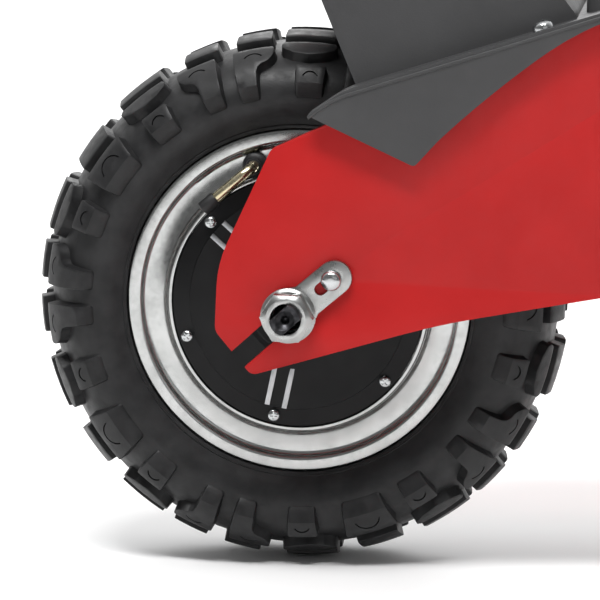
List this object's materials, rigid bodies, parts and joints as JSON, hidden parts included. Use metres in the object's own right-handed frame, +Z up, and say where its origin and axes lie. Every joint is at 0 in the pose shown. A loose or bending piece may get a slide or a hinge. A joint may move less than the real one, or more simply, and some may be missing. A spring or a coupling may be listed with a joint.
{
  "type": "electric kick scooter",
  "caption": "Standing off-road scooter with a rear hub motor, knobby tyres, red side plates, deck, sprung fork and folding stem.",
  "frame": {"origin": "on the ground, half way between the two wheel axles", "axes": "+X forward, +Y to the rider's left, +Z up"},
  "size_m": [1.182, 0.6, 1.131],
  "materials": {
    "tyre_rubber": "matt black rubber",
    "cast_aluminium": "polished cast aluminium",
    "cover_black": "satin black paint",
    "zinc_steel": "bright zinc plate",
    "chromed_steel": "chrome",
    "black_steel": "black oxide",
    "magnet": "nickel plate",
    "lamination": "varnished steel stack",
    "bearing_steel": "ground",
    "brass": "plain brass",
    "black_plastic": "moulded black plastic",
    "red_powder": "satin red powder coat",
    "black_powder": "satin black powder coat",
    "deck_wood": "sealed plywood",
    "grip_tape": "grit tape",
    "pan_plastic": "black plastic",
    "battery_case": "grey plastic",
    "bare_aluminium": "machined",
    "mudguard_plastic": "fine-grained black plastic",
    "lamp_red": "red lens",
    "lamp_shell": "gloss black",
    "display_case": "gloss black",
    "grip_rubber": "soft black rubber",
    "disc_steel": "ground stainless",
    "button_red": "gloss red"
  },
  "bodies": {
    "chassis": {"side_plate_right": "red_powder", "side_plate_left": "red_powder", "cross_bars": "black_powder", "frame_bolts": "black_steel", "neck_frame": "red_powder", "headset_bearings": "bearing_steel", "deck_board": "deck_wood", "grip_pad": "grip_tape", "deck_screws": "zinc_steel", "belly_pan": "pan_plastic", "battery_pack": "battery_case", "motor_controller": "bare_aluminium", "charge_port": "black_plastic", "key_switch": "zinc_steel", "rear_mudguard": "mudguard_plastic", "mudguard_screws": "chromed_steel", "tail_light": "lamp_red", "kickstand_bracket": "black_powder", "kickstand_bolt": "zinc_steel", "rear_axle": "black_steel", "motor_stator": "lamination", "torque_washers": "zinc_steel", "torque_screws": "chromed_steel", "rear_axle_nuts": "zinc_steel"},
    "rear_wheel": {"rear_tyre": "tyre_rubber", "rear_rim": "cast_aluminium", "motor_covers": "cover_black", "motor_cover_screws": "chromed_steel", "motor_bearings": "bearing_steel", "motor_magnets": "magnet", "rear_valve_stem": "brass", "rear_valve_cap": "black_plastic"},
    "key": {"key_barrel": "chromed_steel"},
    "stand": {"kickstand": "black_powder"},
    "steering": {"fork_crown": "black_powder", "fork_stanchions": "chromed_steel", "fold_base": "black_powder", "fold_pin": "zinc_steel"},
    "fork_slider": {"fork_lowers": "black_powder", "front_axle": "zinc_steel", "front_axle_nuts": "zinc_steel", "front_mudguard": "mudguard_plastic", "front_caliper": "black_powder"},
    "front_wheel": {"front_tyre": "tyre_rubber", "front_rim": "cast_aluminium", "front_bearings": "bearing_steel", "front_brake_disc": "disc_steel"},
    "folding_stem": {"stem_tube": "black_powder", "handlebar_clamp": "black_powder", "handlebar": "black_powder", "grips": "grip_rubber", "display": "display_case", "headlight": "lamp_shell", "brake_perches": "black_powder", "control_housings": "black_plastic"},
    "fold_clamp": {"fold_lever": "bare_aluminium"},
    "right_lever": {"brake_lever_right": "bare_aluminium"},
    "left_lever": {"brake_lever_left": "bare_aluminium"},
    "throttle": {"throttle_lever": "black_plastic"},
    "horn": {"horn_button": "button_red"}
  },
  "joints": [
    {"name": "rear_wheel_spin", "type": "hinge", "parent": "chassis", "child": "rear_wheel", "pos_m": [-0.45, 0, 0.141], "axis": [0, 1, 0], "continuous": true},
    {"name": "key_turn", "type": "hinge", "parent": "chassis", "child": "key", "pos_m": [0.12, -0.08, 0.215], "axis": [0, 1, 0], "range_deg": [0, 90]},
    {"name": "kickstand_fold", "type": "hinge", "parent": "chassis", "child": "stand", "pos_m": [0.03, 0.092, 0.172], "axis": [0, 1, 0], "range_deg": [0, 85]},
    {"name": "steering_turn", "type": "hinge", "parent": "chassis", "child": "steering", "pos_m": [0.34821, 0, 0.42431], "axis": [-0.2588, 0, 0.9659], "range_deg": [-40, 40]},
    {"name": "fork_travel", "type": "slide", "parent": "steering", "child": "fork_slider", "axis": [-0.2588, 0, 0.9659], "range_m": [0, 0.04], "stiffness_N_per_m": 9000, "springref_m": -0.035},
    {"name": "front_wheel_spin", "type": "hinge", "parent": "fork_slider", "child": "front_wheel", "pos_m": [0.45, 0, 0.141], "axis": [0, 1, 0], "continuous": true},
    {"name": "stem_fold", "type": "hinge", "parent": "steering", "child": "folding_stem", "pos_m": [0.28593, 0, 0.5215], "axis": [0, -1, 0], "range_deg": [0, 85]},
    {"name": "fold_lever_swing", "type": "hinge", "parent": "steering", "child": "fold_clamp", "pos_m": [0.28593, -0.0403, 0.5215], "axis": [-0.9659, 0, -0.2588], "range_deg": [0, 100]},
    {"name": "brake_lever_right_pull", "type": "hinge", "parent": "folding_stem", "child": "right_lever", "pos_m": [0.20859, -0.145, 1.09606], "axis": [0.2588, 0, -0.9659], "range_deg": [0, 10], "stiffness_Nm_per_rad": 1, "springref_deg": -14.32},
    {"name": "brake_lever_left_pull", "type": "hinge", "parent": "folding_stem", "child": "left_lever", "pos_m": [0.20859, 0.145, 1.09606], "axis": [-0.2588, 0, 0.9659], "range_deg": [0, 10], "stiffness_Nm_per_rad": 1, "springref_deg": -14.32},
    {"name": "throttle_push", "type": "hinge", "parent": "folding_stem", "child": "throttle", "pos_m": [0.17092, -0.099, 1.08597], "axis": [0, -1, 0], "range_deg": [0, 35], "stiffness_Nm_per_rad": 0.3, "springref_deg": -17.19},
    {"name": "horn_press", "type": "slide", "parent": "folding_stem", "child": "horn", "axis": [0.9659, 0, 0.2588], "range_m": [0, 0.002], "stiffness_N_per_m": 600, "springref_m": -0.002}
  ]
}
